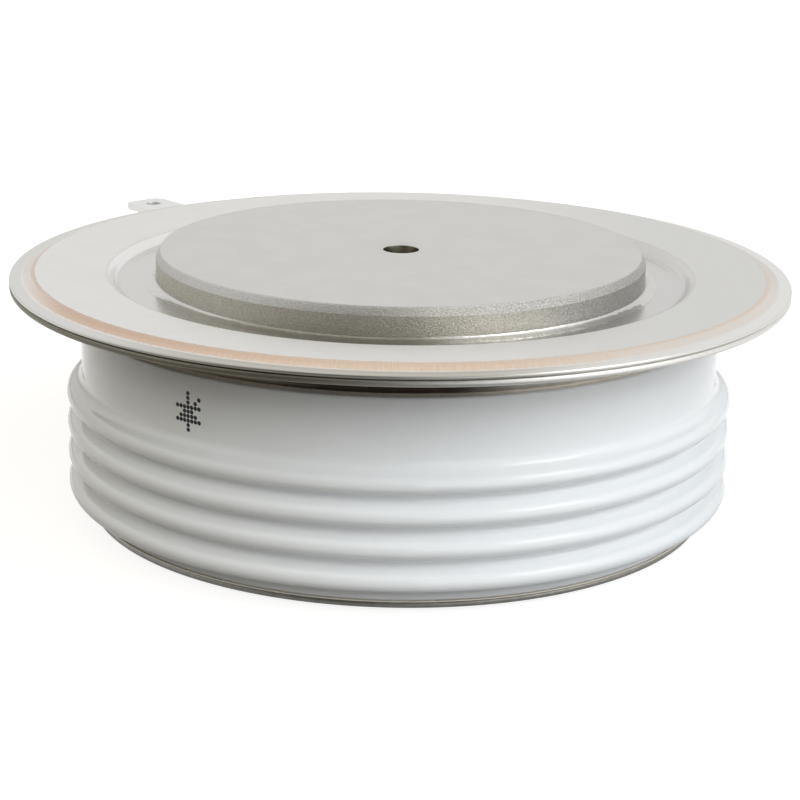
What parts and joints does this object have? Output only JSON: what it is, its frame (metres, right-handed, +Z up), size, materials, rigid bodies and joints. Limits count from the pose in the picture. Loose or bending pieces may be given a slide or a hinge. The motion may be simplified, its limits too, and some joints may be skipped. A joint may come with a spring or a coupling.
{
  "type": "disc thyristor",
  "caption": "Press-pack disc thyristor: ribbed white ceramic ring between two round contact poles, with a cold-welded metal rim, a gate tube and a small cathode tab.",
  "frame": {"origin": "centre of the anode contact face, which the part stands on", "axes": "+Z up along the capsule's axis to the cathode contact face; +Y away from the viewer; the cathode tab and the gate tube are at the rear left"},
  "size_m": [0.076, 0.076, 0.026],
  "materials": {
    "pole_nickel": "satin",
    "lid_nickel": "satin",
    "flange_nickel": "bright",
    "dark_flange": "dull",
    "braze_silver": "bright",
    "white_ceramic": "gloss glaze",
    "molybdenum": "ground",
    "silicon": "polished",
    "silicone_rubber": "matt",
    "white_plastic": "matt",
    "silver_wire": "bright"
  },
  "bodies": {
    "root": {"cathode_pole": "pole_nickel", "cathode_lid": "lid_nickel", "cathode_braze": "braze_silver", "weld_flange": "flange_nickel", "upper_braze": "braze_silver", "ceramic_housing": "white_ceramic", "lower_braze": "braze_silver", "anode_flange": "dark_flange", "anode_pole": "pole_nickel", "anode_braze": "braze_silver", "anode_disc": "molybdenum", "silicon_wafer": "silicon", "edge_seal": "silicone_rubber", "centring_ring": "white_plastic", "cathode_disc": "molybdenum", "gate_cup": "white_plastic", "gate_bush": "white_plastic", "gate_pin": "silver_wire", "gate_spring": "silver_wire", "gate_lead": "silver_wire", "gate_sleeve": "white_plastic", "gate_tube": "flange_nickel", "gate_braze": "braze_silver"}
  },
  "joints": []
}
